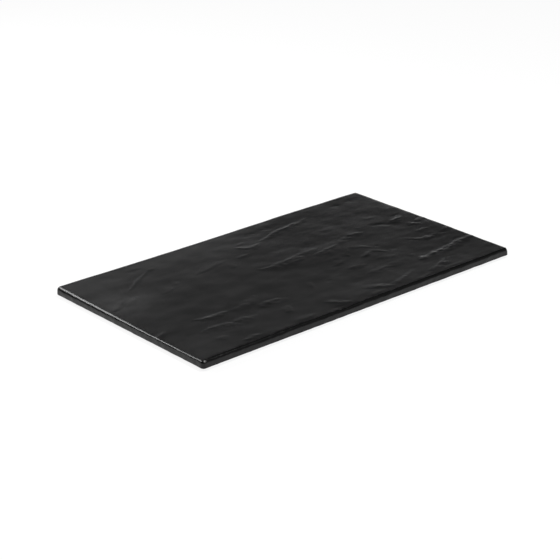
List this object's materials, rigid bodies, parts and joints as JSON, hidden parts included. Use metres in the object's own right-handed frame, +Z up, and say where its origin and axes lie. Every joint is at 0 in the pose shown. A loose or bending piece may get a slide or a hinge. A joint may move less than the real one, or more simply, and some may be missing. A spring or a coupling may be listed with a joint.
{
  "type": "slate serving board",
  "caption": "Flat rectangular slate board with a riven top and smooth rounded edges, on stick-on rubber feet, for serving food.",
  "frame": {"origin": "on the table, under the middle of the board", "axes": "+X along the board's length, +Y across its width, +Z up through the serving face"},
  "size_m": [0.32, 0.18, 0.0085],
  "materials": {
    "slate": "oiled black slate, satin on the riven face and smoother on the ground edges",
    "foot_rubber": "matt black moulded rubber",
    "foot_adhesive": "off-white double-sided adhesive film"
  },
  "bodies": {
    "root": {"slab": "slate", "foot_front_left": "foot_rubber", "foot_front_right": "foot_rubber", "foot_back_left": "foot_rubber", "foot_back_right": "foot_rubber", "adhesive_front_left": "foot_adhesive", "adhesive_front_right": "foot_adhesive", "adhesive_back_left": "foot_adhesive", "adhesive_back_right": "foot_adhesive"}
  },
  "joints": []
}
